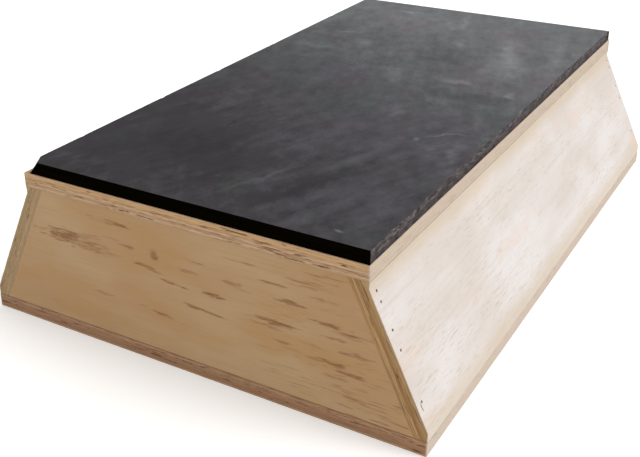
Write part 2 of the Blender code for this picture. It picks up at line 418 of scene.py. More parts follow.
def end_panel(name, end, materials, flecks, seed):
    """An upright trapezoid between the side panels, with a fine grid over its outer face."""
    heights = np.linspace(BASE_TOP, DECK_FOOT, 134)
    z = np.repeat(heights[:, None], 200, 1)
    half = slope_x(z) - PANEL_ACROSS - TIGHT
    x = half * np.linspace(-1, 1, 200)
    outer_y = DECK_LOW.y if end < 0 else DECK_HIGH.y
    mask = fleck_mask(x, z, flecks, seed)
    rim = smooth_step(np.minimum(half - np.abs(x), np.minimum(z - BASE_TOP, DECK_FOOT - z)), 0, 1 * MM)
    back = 0.05 * MM * (1 + rough_noise(x / (60 * MM), z / (7 * MM), seed + 1)) + 0.05 * MM * mask
    y = outer_y - end * (0.03 * MM + back * rim + 0.12 * MM * (1 - rim))
    grid = np.stack([x, y, z], -1)
    rows, columns = z.shape
    inner_y = outer_y - end * PLY
    loop = [(0, c) for c in range(columns)]
    loop += [(r, columns - 1) for r in range(1, rows)]
    loop += [(rows - 1, c) for c in reversed(range(columns - 1))]
    loop += [(r, 0) for r in reversed(range(1, rows - 1))]
    behind = np.array([(grid[r, c, 0], inner_y, grid[r, c, 2]) for r, c in loop])
    points = np.concatenate([grid.reshape(-1, 3), behind])
    faces = [
        (r * columns + c, r * columns + c + 1, (r + 1) * columns + c + 1, (r + 1) * columns + c)
        for r in range(rows - 1) for c in range(columns - 1)
    ]
    start = rows * columns
    for i, (r, c) in enumerate(loop):
        after = (i + 1) % len(loop)
        next_r, next_c = loop[after]
        faces.append((r * columns + c, next_r * columns + next_c, start + after, start + i))
    faces.append([start + i for i in range(len(loop))])
    slots = [0] * len(faces)
    values = {"fleck": np.concatenate([mask.ravel(), np.zeros(len(loop))])}
    return mesh_object(name, points, faces, slots, materials, values)


# ---------------------------------------------------------------- slab

def carve(points, centre, radii, inward):
    """Moves the points inside an ellipsoid along inward, onto its far wall, and returns which moved."""
    q = (points - centre) / radii
    d = np.asarray(inward) / radii
    inside = (q ** 2).sum(-1) < 1
    a = (d ** 2).sum()
    b = (q * d).sum(-1)
    c = (q ** 2).sum(-1) - 1
    shift = np.where(inside, (-b + np.sqrt(np.maximum(b * b - a * c, 0))) / a, 0)
    points += shift[..., None] * np.asarray(inward)
    return np.clip(shift / (0.4 * MM), 0, 1)


# The largest chips in the right arris: place along it, from the front, as a part, and size in millimetres
LARGE_CHIPS = [(0.505, 5.0), (0.47, 2.8), (0.40, 3.0), (0.63, 3.0), (0.57, 2.4), (0.285, 2.6), (0.17, 2.3)]

# For the front, right, rear and left edges: how rough the edge is, and how many small chips it has
EDGE_ROUGHNESS = (0.12, 2.0, 0.4, 1.4)
CHIP_COUNTS = (5, 74, 14, 26)

# Rows of points over the slab: insets on its top, and drops down its sides; millimetres
TOP_INSETS = (4.2, 3.2, 2.4, 1.7, 1.1, 0.65, 0.3)
SIDE_DROPS = (0.3, 0.6, 1.0, 1.5, 2.0, 2.6, 3.2, 3.9, 4.6, 5.3, 6.0, 6.7, 7.3)


def slab(materials):
    """The slate slab: chipped arrises, a rough right edge, and a front left corner knocked off."""
    low, high = Vector((SLAB_LOW.x, SLAB_LOW.y, SLAB_FOOT)), SLAB_HIGH
    thick = high.z - low.z
    rows = [(inset * MM, thick) for inset in TOP_INSETS]
    rows += [(0.06 * MM, thick - 0.06 * MM)]
    rows += [(0, thick - drop * MM) for drop in SIDE_DROPS]
    rows += [(0.3 * MM, 0)]
    points, sides, along = rim_points(box_corners(low, high, rows, SLAB_LEAN), 0.9 * MM)
    drop = high.z - points[:, :, 2]
    on_side = (drop > 0.05 * MM) & (drop < thick - 0.05 * MM)
    random = np.random.default_rng(11)
    wear = np.zeros(drop.shape)
    for side in range(4):
        chosen = sides == side
        place = along[chosen][:, None]
        length = place.max()
        rough = EDGE_ROUGHNESS[side]
        layer = np.floor(drop[chosen] / (0.85 * MM) + 0.6 * lattice_noise(place / (14 * MM), 3.3, 40 + side))
        split = 0.17 * (1 + lattice_noise(place / (7 * MM), layer * 5.7, 20 + side))
        grain = 0.09 * (1 + rough_noise(place / (1.6 * MM), drop[chosen] / (0.7 * MM), 30 + side))
        wave = 0.14 * (1 + lattice_noise(place / (31 * MM), 0.5, 60 + side))
        wave = wave + 0.13 * (1 + rough_noise(place / (8 * MM), drop[chosen] / (5 * MM), 70 + side))
        fade = smooth_step(np.minimum(place, length - place), 0, 1.2 * MM)
        back = rough * (split + grain + wave) * MM * on_side[chosen] * fade
        points[chosen] -= back[:, :, None] * SIDE_NORMALS[side]
        arris_wear = np.exp(-drop[chosen] / (0.5 * MM)) * (drop[chosen] > 0.01 * MM)
        patchy = 0.6 + 0.4 * lattice_noise(place / (3 * MM), 1.5, side)
        wear[chosen] = np.maximum(wear[chosen], 0.55 * min(rough, 1) * arris_wear * patchy)

    heights = points[:, :, 2].copy()
    left_top = low.x + SLAB_LEAN
    starts = np.array([(left_top, low.y), (high.x, low.y), (high.x, high.y), (left_top, high.y)])
    for side, chip_count in enumerate(CHIP_COUNTS):
        start, end = starts[side], starts[(side + 1) % 4]
        chips = [(random.random(), 0.7 + 1.9 * random.random() ** 3) for _ in range(chip_count)]
        if side == 0:
            chips = [(part, size * 0.45) for part, size in chips]
        if side == 1:
            chips = [(part, size * 1.25) for part, size in chips] + LARGE_CHIPS
        for part, size in chips:
            spot = start + (end - start) * part
            normal = SIDE_NORMALS[side]
            lift = np.array([0, 0, size * 0.45 * MM])
            centre = np.array([*spot, high.z]) + normal * size * 0.55 * MM + lift
            long_axis = size * (1.3 + 1.4 * random.random())
            radii = np.abs(normal) * size + np.abs(np.array([normal[1], normal[0], 0])) * long_axis
            radii[2] = size * (0.75 + 0.4 * random.random())
            moved = carve(points, centre, radii * MM, -normal * 0.7 - np.array([0, 0, 0.7]))
            wear = np.maximum(wear, moved * 0.9)

    # the knocked-off corner: a plane through the top, leaning out to the corner's foot
    normal = np.array([-0.72, -0.42, 0.55])
    normal /= np.linalg.norm(normal)
    on_plane = np.array([left_top + 5.2 * MM, low.y, high.z])
    roughness = 0.16 * MM * rough_noise(points[:, :, 1] / (1.5 * MM), points[:, :, 2] / (1.1 * MM), 15)
    beyond = (points - on_plane) @ normal + roughness
    points -= np.maximum(beyond, 0)[:, :, None] * normal
    # damage never pushes a point down through the slab's foot into the bed or the deck
    points[:, :, 2] = np.maximum(points[:, :, 2], low.z + 0.3 * (heights - low.z))
    faces = rim_faces(*drop.shape)
    column_count, row_count = drop.shape
    slots = []
    for column in range(column_count):
        for row in range(row_count - 1):
            if row < len(TOP_INSETS) - 1:
                slots.append(0)
            else:
                slots.append(2 if sides[column] == 0 else 1)
    slots += [0, 1]
    values = {"wear": wear.ravel()}
    return mesh_object("slate_slab", points.reshape(-1, 3), faces, slots, materials, values, sharp_degrees=28)


def adhesive_bed(materials):
    """The bed shows only as a dark, uneven line set back under the slab."""
    low = Vector((SLAB_LOW.x + 0.5 * MM, SLAB_LOW.y + 0.5 * MM, DECK_HIGH.z + 0.02 * MM))
    high = Vector((SLAB_HIGH.x - 0.5 * MM, SLAB_HIGH.y - 0.5 * MM, SLAB_FOOT - 0.02 * MM))
    thick = high.z - low.z
    profile = ((0.03, 1), (0, 0.75), (0.01, 0.5), (0, 0.25), (0.03, 0))
    rows = [(inset * MM, thick * part) for inset, part in profile]
    points, sides, along = rim_points(box_corners(low, high, rows), 2 * MM)
    back = 0.45 * MM * (1 + rough_noise(along / (9 * MM), sides * 5.1, 90))
    points -= back[:, None, None] * SIDE_NORMALS[sides][:, None, :]
    faces = rim_faces(points.shape[0], points.shape[1])
    return mesh_object("adhesive_bed", points.reshape(-1, 3), faces, [0] * len(faces), materials)


# ---------------------------------------------------------------- brad holes

def brad_axis(node):
    """The middle of a brad's head and the direction that it was driven in."""
    points = np.array([v.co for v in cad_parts[node].data.vertices])
    centre = points.mean(0)
    axis = np.linalg.svd(points - centre)[2][0]
    reach = (points - centre) @ axis
    spread = np.linalg.norm(points - centre - np.outer(reach, axis), axis=1)
    if spread[reach < reach.min() + 1 * MM].max() < spread[reach > reach.max() - 1 * MM].max():
        axis, reach = -axis, -reach
    head = centre + axis * reach.min()
    return Vector(head), Vector(axis)


def cut(obj, cutters):
    """Takes the cutters out of obj with one exact Boolean, and removes them."""
    bpy.context.view_layer.update()
    group = bpy.data.collections.new(obj.name + "_cutters")
    for cutter in cutters:
        group.objects.link(cutter)
    boolean = obj.modifiers.new("holes", "BOOLEAN")
    boolean.operand_type = "COLLECTION"
    boolean.collection = group
    boolean.solver = "EXACT"
    boolean.operation = "DIFFERENCE"
    boolean.material_mode = "TRANSFER"
    evaluated = obj.evaluated_get(bpy.context.evaluated_depsgraph_get())
    mesh = bpy.data.meshes.new_from_object(evaluated)
    obj.modifiers.clear()
    obj.data = mesh
    for cutter in cutters:
        bpy.data.objects.remove(cutter, do_unlink=True)
    bpy.data.collections.remove(group)


def ring_faces(rings, sides):
    """Quads between rings of points, and a cap at each end."""
    faces = []
    for start in range(0, (rings - 1) * sides, sides):
        for i in range(sides):
            after = (i + 1) % sides
            faces.append((start + i, start + after, start + sides + after, start + sides + i))
    faces.append(list(reversed(range(sides))))
    faces.append([(rings - 1) * sides + i for i in range(sides)])
    return faces


def hole_cutter(head, axis, material, seed):
    """A ragged round cutter that opens a board down to a brad's head."""
    sides, random = 12, np.random.default_rng(seed)
    turn = axis.to_track_quat("Z", "Y").to_matrix()
    points = []
    levels = ((-2.2 * MM, 1.25), (-0.95 * MM, 1.08), (-0.5 * MM, 0.96), (0.15 * MM, 0.9))
    for depth, size in levels:
        for i in range(sides):
            angle = math.tau * i / sides
            radius = BRAD_HOLE_RADIUS * size * (1 + 0.14 * random.normal())
            points.append(head + turn @ Vector((radius * math.cos(angle), radius * math.sin(angle), depth)))
    faces = ring_faces(len(levels), sides)
    return mesh_object("hole_cutter", points, faces, [0] * len(faces), [material])


def scar_cutter(material):
    """A shallow curved cutter for the torn spot beside the lowest front brad of the right panel."""
    rings, sides = 9, 8
    down_slope = Vector((SLOPE_TAN, 0, -1)).normalized()
    outward = Vector((1, 0, SLOPE_TAN)).normalized()
    height = FOLD_Z + (TOE_Z - FOLD_Z) * 0.835
    middle = Vector((float(slope_x(height)), SCAR_Y, height)) + outward * 0.12 * MM
    points = []
    for ring in range(rings):
        along = 2 * ring / (rings - 1) - 1
        size = math.sqrt(max(1 - along ** 2, 0.02))
        bend = 0.9 * MM * along ** 2
        spine = middle + down_slope * along * 3.1 * MM + Vector((0, bend, 0))
        for i in range(sides):
            angle = math.tau * i / sides
            across = Vector((0, 0.55 * MM * size * math.cos(angle), 0))
            points.append(spine + across + outward * 0.45 * MM * size * math.sin(angle))
    faces = ring_faces(rings, sides)
    return mesh_object("scar_cutter", points, faces, [0] * len(faces), [material])


def drill(obj, prefixes, material, extra=()):
    """Opens the board over each brad whose name starts with one of the prefixes."""
    cutters = list(extra)
    for number, node in enumerate(sorted(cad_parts)):
        if node.startswith(prefixes):
            head, axis = brad_axis(node)
            cutters.append(hole_cutter(head, axis, material, 300 + number))
    cut(obj, cutters)


# ---------------------------------------------------------------- materials

def srgb(red, green, blue):
    """A linear colour from the 0 to 255 numbers of a picture."""
    def channel(value):
        value /= 255
        return value / 12.92 if value <= 0.04045 else ((value + 0.055) / 1.055) ** 2.4
    return (channel(red), channel(green), channel(blue), 1)


class Shader:
    """A node material under construction. Each step returns the socket of its result."""

    def __init__(self, name):
        self.material = bpy.data.materials.new(name)
        self.material.use_nodes = True
        self.tree = self.material.node_tree
        self.tree.nodes.clear()
        self.place = self.node("ShaderNodeTexCoord").outputs["Object"]

    def node(self, kind, values=None, **settings):
        node = self.tree.nodes.new(kind)
        for key, value in settings.items():
            setattr(node, key, value)
        for key, value in (values or {}).items():
            if isinstance(value, bpy.types.NodeSocket):
                self.tree.links.new(value, node.inputs[key])
            else:
                node.inputs[key].default_value = value
        return node

    def math(self, operation, first, second=0.0, third=0.0):
        return self.node("ShaderNodeMath", {0: first, 1: second, 2: third}, operation=operation).outputs[0]

    def axis(self, letter):
        return self.node("ShaderNodeSeparateXYZ", {0: self.place}).outputs[letter]

    def attribute(self, name):
        return self.node("ShaderNodeAttribute", attribute_name=name).outputs["Fac"]

    def scaled(self, sizes, turn=0.0, shift=(0, 0, 0)):
        """Object coordinates in units of sizes (millimetres), after a turn about Z in degrees."""
        scale = tuple(1000 / size for size in sizes)
        return self.vector("ADD", self.vector("MULTIPLY", self.turned(self.place, turn), scale), shift)

    def vector(self, operation, first, second):
        return self.node("ShaderNodeVectorMath", {0: first, 1: second}, operation=operation).outputs[0]

    def turned(self, vector, degrees):
        """A vector turned about Z."""
        return self.node("ShaderNodeVectorRotate", {
            "Vector": vector, "Axis": (0, 0, 1), "Angle": math.radians(degrees)}).outputs[0]

    def noise(self, vector, detail=2.0, roughness=0.5):
        values = {"Vector": vector, "Scale": 1.0, "Detail": detail, "Roughness": roughness}
        return self.node("ShaderNodeTexNoise", values, noise_dimensions="3D").outputs["Fac"]

    def spread(self, value, low, high, to_low=0.0, to_high=1.0):
        """value from low to high, eased to to_low and to_high."""
        values = {"Value": value, "From Min": low, "From Max": high, "To Min": to_low, "To Max": to_high}
        node = self.node("ShaderNodeMapRange", values, interpolation_type="SMOOTHSTEP")
        return node.outputs["Result"]

    def mix(self, factor, first, second):
        values = {0: factor, 6: first, 7: second}
        return self.node("ShaderNodeMix", values, data_type="RGBA").outputs[2]

    def ramp(self, value, stops):
        node = self.node("ShaderNodeValToRGB", {0: value})
        elements = node.color_ramp.elements
        while len(elements) < len(stops):
            elements.new(0.5)
        for element, (position, color) in zip(elements, stops):
            element.position = position
            element.color = color
        return node.outputs[0]

    def finish(self, color, roughness, height, distance, specular, **uniform):
        """Joins a principled shader. height is 0 to 1, distance its full depth in metres.

        uniform holds further values of the shader, with _ for the spaces in their names.
        """
        bump = self.node("ShaderNodeBump", {"Strength": 1.0, "Distance": distance, "Height": height})
        shader = self.node("ShaderNodeBsdfPrincipled", {
            "Base Color": color, "Roughness": roughness, "Normal": bump.outputs[0],
            "Specular IOR Level": specular})
        for label, value in uniform.items():
            shader.inputs[label.replace("_", " ")].default_value = value
        output = self.node("ShaderNodeOutputMaterial")
        self.tree.links.new(shader.outputs[0], output.inputs[0])
        return self.material


def side_veneer():
    """The side panels' faces: very pale, with short fine strokes along the grain and soft clouds; the pale,
    greyed colour is partly a painted highlight of the lit side, and a band just under the deck is painted
    shade.
    """
    s = Shader("side_veneer")
    clouds = s.noise(s.scaled((34, 95, 34)), detail=3.0)
    # pale plywood, paled and greyed further: a painted highlight of the strongly lit side
    color = s.mix(s.spread(clouds, 0.36, 0.66), srgb(209, 204, 202), srgb(199, 190, 183))
    warm = s.noise(s.scaled((18, 60, 18), shift=(7, 3, 1)), detail=2.0)
    color = s.mix(s.spread(warm, 0.52, 0.72, 0.0, 0.35), color, srgb(208, 184, 166))
    lines = s.noise(s.scaled((2.2, 110, 2.2), shift=(3, 0, 8)), detail=4.0, roughness=0.6)
    color = s.mix(s.spread(lines, 0.50, 0.72, 0.0, 0.35), color, srgb(190, 176, 160))
    strokes = s.noise(s.scaled((0.75, 9, 0.75)), detail=2.0, roughness=0.6)
    presence = s.spread(s.noise(s.scaled((26, 50, 26), shift=(1, 5, 9))), 0.35, 0.65, 0.25, 1.0)
    stroke = s.math("MULTIPLY", s.spread(strokes, 0.54, 0.68), presence)
    color = s.mix(s.math("MULTIPLY", stroke, 0.5), color, srgb(172, 153, 136))
    edge_wander = s.math("MULTIPLY", s.noise(s.scaled((30, 40, 30))), 5 * MM)
    height = s.math("ADD", s.axis("Z"), edge_wander)
    # painted shade: a darker band on the panel just below the deck's edge
    painted_shade_under_deck = s.spread(height, FOLD_Z - 5 * MM, FOLD_Z + 4 * MM, 0.0, 0.75)
    foot_band = s.spread(height, TOE_Z + 12 * MM, TOE_Z + 1 * MM, 0.0, 0.6)
    color = s.mix(painted_shade_under_deck, color, srgb(192, 175, 152))
    color = s.mix(foot_band, color, srgb(190, 172, 148))
    relief = s.math("ADD", s.math("MULTIPLY", lines, 0.5), s.math("MULTIPLY", strokes, 0.5))
    roughness = s.spread(clouds, 0.3, 0.7, 0.5, 0.64)
    return s.finish(color, roughness, relief, 0.2 * MM, specular=0.3)


def end_veneer():
    """The end panels' faces: tan, streaky towards one side, with brown flecks along the grain; the tan is the
    plywood's colour darkened and warmed with painted shade.
    """
    s = Shader("end_veneer")
    clouds = s.noise(s.scaled((75, 75, 30)), detail=2.0)
    # tan plywood, darker and warmer than the side faces: painted shade of the shaded ends
    color = s.mix(s.spread(clouds, 0.36, 0.64), srgb(166, 132, 93), srgb(171, 141, 104))
    warm = s.noise(s.scaled((60, 60, 22), shift=(4, 2, 7)), detail=2.0)
    color = s.mix(s.spread(warm, 0.50, 0.70, 0.0, 0.6), color, srgb(164, 126, 78))
    grain = s.noise(s.scaled((42, 42, 1.3), shift=(0, 0, 5)), detail=4.0, roughness=0.6)
    color = s.mix(s.spread(grain, 0.48, 0.74, 0.0, 0.35), color, srgb(160, 124, 82))
    streaky = s.spread(s.axis("X"), 20 * MM, 105 * MM, 0.08, 1.0)
    streaks = s.noise(s.scaled((13, 13, 0.9), shift=(2, 0, 0)), detail=3.0, roughness=0.6)
    patches = s.spread(s.noise(s.scaled((22, 22, 7), shift=(5, 1, 3))), 0.42, 0.62)
    streak = s.math("MULTIPLY", s.spread(streaks, 0.50, 0.68), s.math("MULTIPLY", streaky, patches))
    color = s.mix(s.math("MULTIPLY", streak, 0.8), color, srgb(130, 92, 52))
    fleck = s.attribute("fleck")
    fibre = s.noise(s.scaled((7, 7, 0.55)), detail=3.0, roughness=0.65)
    fleck = s.math("MULTIPLY", fleck, s.spread(fibre, 0.34, 0.60, 0.28, 1.0))
    color = s.mix(s.spread(fleck, 0.0, 0.95, 0.0, 0.95), color, srgb(124, 82, 46))
    relief = s.math("SUBTRACT", s.math("MULTIPLY", grain, 0.6), s.math("MULTIPLY", fleck, 0.2))
    roughness = s.spread(grain, 0.3, 0.7, 0.52, 0.66)
    return s.finish(color, roughness, relief, 0.1 * MM, specular=0.25)


def ply_edge(name, plies, line_color, gap_color, dash_color, dashes, long_edge_highlight=None):
    """A sawn plywood edge. plies are (where the ply begins, as part of the thickness, and its colour).

    Edges along the grain are painted paler than end grain, towards the colour long_edge_highlight: a painted
    highlight of the long sides in strong light.
    """
    s = Shader(name)
    part = s.attribute("part")
    x, y, z = s.axis("X"), s.axis("Y"), s.axis("Z")
    along = s.math("ADD", s.math("ADD", x, y), z)

    def along_noise(length, rows, detail, shift):
        """Noise drawn out along the edge: length in millimetres, rows over the board's thickness."""
        vector = s.node("ShaderNodeCombineXYZ", {
            "X": s.math("MULTIPLY", along, 1000 / length),
            "Y": s.math("MULTIPLY", part, rows),
            "Z": shift}).outputs[0]
        return s.noise(vector, detail=detail, roughness=0.6)

    wander = s.math("MULTIPLY", s.math("SUBTRACT", along_noise(26, 1.5, 3.0, 0.5), 0.5), 0.10)
    layer = s.math("ADD", part, wander)
    stops = []
    for i, (begins, color) in enumerate(plies):
        if i:
            stops.append((begins - 0.012, plies[i - 1][1]))
            stops.append((begins + 0.012, color))
        else:
            stops.append((0.0, color))
    color = s.ramp(layer, stops)
    seams = None
    for begins, _ in plies[1:]:
        near = s.spread(s.math("ABSOLUTE", s.math("SUBTRACT", layer, begins)), 0.008, 0.032, 1.0, 0.0)
        seams = near if seams is None else s.math("MAXIMUM", seams, near)
    broken = s.spread(along_noise(9, 3, 3.0, 4.5), 0.40, 0.62)
    color = s.mix(s.math("MULTIPLY", s.math("MULTIPLY", seams, broken), 0.55), color, line_color)
    fibres = along_noise(6, 26, 3.0, 1.5)
    color = s.mix(s.spread(fibres, 0.46, 0.70, 0.0, 0.55), color, line_color)
    light_fibres = along_noise(14, 18, 2.0, 7.5)
    color = s.mix(s.spread(light_fibres, 0.56, 0.72, 0.0, 0.45), color, plies[0][1])
    dash_noise = along_noise(8, 15, 2.0, 9.5)
    low, high, amount = dashes
    band = s.math("MULTIPLY", s.spread(layer, low - 0.04, low), s.spread(layer, high, high + 0.04, 1.0, 0.0))
    dash = s.math("MULTIPLY", s.spread(dash_noise, 0.60, 0.66), band)
    color = s.mix(s.math("MULTIPLY", dash, amount), color, dash_color)
    color = s.mix(s.spread(s.attribute("gap"), 0.05, 0.9, 0.0, 0.9), color, gap_color)
    # painted highlight: the long edges are paled towards a pale colour
    if long_edge_highlight:
        color = s.mix(s.spread(s.attribute("end_grain"), 1.0, 0.0, 0.0, 0.68), color, long_edge_highlight)
    relief = s.math("SUBTRACT", fibres, s.math("MULTIPLY", dash, 0.8))
    roughness = s.spread(fibres, 0.3, 0.7, 0.62, 0.82)
    return s.finish(color, roughness, relief, 0.14 * MM, specular=0.2)


def plain_veneer(name, pale, deep, axis_sizes):
    """A board face that is mostly hidden: long grain with soft clouds."""
    s = Shader(name)
    clouds = s.noise(s.scaled(tuple(14 * size for size in axis_sizes)), detail=2.0)
    grain = s.noise(s.scaled(axis_sizes), detail=4.0, roughness=0.6)
    color = s.mix(s.spread(clouds, 0.35, 0.65), pale, deep)
    color = s.mix(s.spread(grain, 0.45, 0.72, 0.0, 0.5), color, tuple(0.62 * c for c in deep[:3]) + (1,))
    return s.finish(color, s.spread(grain, 0.3, 0.7, 0.5, 0.68), grain, 0.12 * MM, specular=0.25)


# Chalky smudges and dark patches of the honed face: middle (x, y), half width and half length,
# lean of the long axis from +Y towards -X in degrees, and how much lighter or darker; millimetres
SLATE_SMUDGES = (
    (-36, -148, 38, 36, 0, -0.050),
    (44, -172, 9, 52, -25, -0.055),
    (-4, -175, 9, 44, -20, -0.030),
    (-76, -112, 20, 24, 0, -0.030),
    (22, -166, 3, 26, -18, 0.050),
    (52, -122, 4, 22, -22, 0.035),
    (62, 112, 11, 62, 18, 0.042),
    (92, 130, 6, 60, 12, 0.035),
    (0, 182, 4, 26, 15, 0.040),
    (-20, 165, 40, 30, 20, 0.020),
    (24, 84, 26, 40, 18, -0.026),
    (-84, 120, 12, 34, 12, -0.020),
    (54, 34, 15, 4, 6, 0.055),
    (94, 24, 5, 9, 20, 0.065),
    (8, 26, 7, 22, 22, 0.042),
    (72, 8, 36, 11, 3, -0.036),
    (-74, 64, 22, 7, 4, 0.036),
    (-45, 88, 8, 9, 0, 0.034),
    (-64, -54, 8, 7, 0, 0.036),
    (40, -36, 7, 16, 22, 0.030),
    (-30, -30, 40, 16, 0, -0.014),
    (92, -78, 14, 14, 0, 0.030),
    (99, -90, 5, 24, 6, 0.050),
    (84, -62, 0.8, 17, -66, 0.085),
    (70, -76, 2.2, 5, 10, 0.070),
    (-40, -107, 1.6, 3.2, 15, -0.110),
    (86, -202, 3, 1.4, 0, 0.110),
    (96, -170, 12, 34, 0, 0.018),
    (-96, -196, 14, 12, 0, 0.040),
    (-52, 186, 16, 3, 8, 0.040),
    (-70, 108, 14, 3, 12, 0.045),
    (20, 120, 5, 18, 30, 0.035),
    (62, 76, 8, 26, 12, 0.035),
)
SMUDGE_STRENGTH = 1.35


def slate_top():
    """The honed face: cloudy dust in diagonal smears, darker towards the front; the lightening towards the
    rear is partly the slate's own tone and partly a painted sheen of the far end.
    """
    s = Shader("honed_slate")
    wobble = s.node("ShaderNodeTexNoise", {
        "Vector": s.scaled((11, 11, 11)), "Scale": 1.0, "Detail": 3.0}).outputs["Color"]
    wobble = s.vector("SUBTRACT", wobble, (0.5, 0.5, 0.5))
    place = s.vector("ADD", s.place, s.vector("MULTIPLY", wobble, (16 * MM, 16 * MM, 0)))

    def smudge(x, y, half_width, half_length, lean):
        turned = s.turned(s.vector("SUBTRACT", place, (x * MM, y * MM, 0)), -lean)
        sized = s.vector("MULTIPLY", turned, (1000 / half_width, 1000 / half_length, 0))
        reach = s.node("ShaderNodeVectorMath", {0: sized}, operation="LENGTH").outputs["Value"]
        return s.spread(reach, 1.35, 0.0)

    # lighter towards the rear: partly the slate's own tone, partly a painted sheen of the far end
    tone = s.spread(s.axis("Y"), -0.19, 0.23, 0.240, 0.425)
    rightwards = s.spread(s.axis("X"), -0.11, 0.11, -0.020, 0.052)
    rightwards = s.math("MULTIPLY", rightwards, s.spread(s.axis("Y"), 0.02, 0.19, 1.0, 0.0))
    tone = s.math("ADD", tone, rightwards)
    clouds = s.noise(s.scaled((26, 40, 26), turn=-14), detail=4.0, roughness=0.6)
    tone = s.math("MULTIPLY_ADD", clouds, 0.15, tone)
    blotches = s.noise(s.scaled((9, 14, 9), turn=-20, shift=(1, 7, 2)), detail=4.0, roughness=0.62)
    tone = s.math("MULTIPLY_ADD", s.math("SUBTRACT", blotches, 0.5), 0.15, tone)
    far_streaks = s.noise(s.scaled((4.5, 30, 4.5), turn=-18), detail=4.0, roughness=0.6)
    near_streaks = s.noise(s.scaled((6.0, 44, 6.0), turn=24, shift=(3, 1, 0)), detail=4.0, roughness=0.6)
    half = s.spread(s.axis("Y"), -0.09, 0.0)
    far_part = s.math("MULTIPLY", s.math("SUBTRACT", far_streaks, 0.5), s.math("MULTIPLY", half, 0.45))
    near_part = s.math("MULTIPLY", s.math("SUBTRACT", near_streaks, 0.5), s.math("SUBTRACT", 1.0, half))
    streaks = s.math("ADD", far_part, near_part)
    tone = s.math("MULTIPLY_ADD", streaks, 0.13, tone)
    dust = s.noise(s.scaled((1.8, 2.6, 1.8)), detail=3.0, roughness=0.7)
    tone = s.math("MULTIPLY_ADD", dust, 0.07, tone)
    for *shape, change in SLATE_SMUDGES:
        tone = s.math("MULTIPLY_ADD", smudge(*shape), change * SMUDGE_STRENGTH, tone)
    tone = s.math("MULTIPLY_ADD", s.attribute("wear"), 0.10, tone)
    tone = s.math("SUBTRACT", tone, 0.106)
    tint = s.noise(s.scaled((30, 46, 30), turn=-20, shift=(6, 2, 0)), detail=3.0)
    tint = s.math("ADD", tint, s.spread(s.axis("Y"), -0.15, 0.10, 0.10, -0.05))
    tint = s.spread(tint, 0.44, 0.62)
    cool = s.ramp(tone, (
        (0.15, srgb(24, 23, 25)), (0.25, srgb(42, 42, 44)), (0.35, srgb(72, 74, 76)),
        (0.45, srgb(103, 106, 108)), (0.60, srgb(150, 152, 153))))
    violet = s.ramp(tone, (
        (0.15, srgb(25, 22, 27)), (0.25, srgb(44, 40, 46)), (0.35, srgb(74, 71, 77)),
        (0.45, srgb(105, 102, 107)), (0.60, srgb(151, 149, 152))))
    color = s.mix(tint, cool, violet)
    roughness = s.spread(clouds, 0.3, 0.7, 0.50, 0.64)
    relief = s.math("ADD", s.math("MULTIPLY", dust, 0.5), s.math("MULTIPLY", streaks, 0.5))
    return s.finish(color, roughness, relief, 0.05 * MM, specular=0.16)


def slate_split():
    """The slab's long edges and rear: rough, mottled grey slate with dark hollows and a rubbed arris."""
    s = Shader("split_slate")
    mottle = s.noise(s.scaled((4.2, 5.5, 1.6)), detail=4.0, roughness=0.65)
    color = s.mix(s.spread(mottle, 0.38, 0.62), srgb(36, 31, 34), srgb(98, 91, 90))
    patches = s.noise(s.scaled((8, 11, 4), shift=(5, 3, 2)), detail=3.0, roughness=0.6)
    color = s.mix(s.spread(patches, 0.50, 0.62, 0.0, 0.7), color, srgb(34, 29, 32))
    layers = s.noise(s.scaled((40, 26, 0.7)), detail=3.0, roughness=0.6)
    color = s.mix(s.spread(layers, 0.5, 0.72, 0.0, 0.55), color, srgb(38, 34, 37))
    foot = s.spread(s.axis("Z"), SLAB_FOOT + 4.5 * MM, SLAB_FOOT + 1.0 * MM, 0.0, 0.55)
    color = s.mix(foot, color, srgb(44, 38, 39))
    stains = s.noise(s.scaled((9, 13, 5), shift=(2, 6, 1)), detail=3.0)
    color = s.mix(s.spread(stains, 0.5, 0.7, 0.0, 0.5), color, srgb(88, 66, 58))
    color = s.mix(s.spread(s.attribute("wear"), 0.1, 0.7, 0.0, 0.85), color, srgb(124, 119, 117))
    relief = s.math("ADD", s.math("MULTIPLY", mottle, 0.6), s.math("MULTIPLY", layers, 0.4))
    roughness = s.spread(mottle, 0.3, 0.7, 0.7, 0.88)
    return s.finish(color, roughness, relief, 0.35 * MM, specular=0.25)


def slate_sawn():
    """The slab's front edge: sawn smooth and nearly black."""
    s = Shader("sawn_slate")
    lines = s.noise(s.scaled((55, 55, 0.5)), detail=3.0, roughness=0.6)
    color = s.mix(s.spread(lines, 0.4, 0.7), srgb(4, 3, 0), srgb(9, 7, 3))
    color = s.mix(s.spread(s.attribute("wear"), 0.15, 0.8, 0.0, 0.5), color, srgb(40, 38, 37))
    roughness = s.spread(lines, 0.3, 0.7, 0.65, 0.8)
    return s.finish(color, roughness, lines, 0.05 * MM, specular=0.0)


def adhesive():
    s = Shader("adhesive")
    lumps = s.noise(s.scaled((3, 3, 0.6)), detail=3.0)
    color = s.mix(lumps, srgb(22, 19, 17), srgb(46, 40, 35))
    return s.finish(color, s.spread(lumps, 0.3, 0.7, 0.45, 0.7), lumps, 0.1 * MM, specular=0.3)


def brad_steel():
    s = Shader("brad_steel_worn")
    spots = s.noise(s.scaled((0.5, 0.5, 0.5)), detail=3.0, roughness=0.65)
    color = s.mix(s.spread(spots, 0.4, 0.65), srgb(140, 132, 124), srgb(178, 172, 165))
    roughness = s.spread(spots, 0.3, 0.7, 0.35, 0.6)
    return s.finish(color, roughness, spots, 0.02 * MM, specular=0.5, Metallic=0.4)


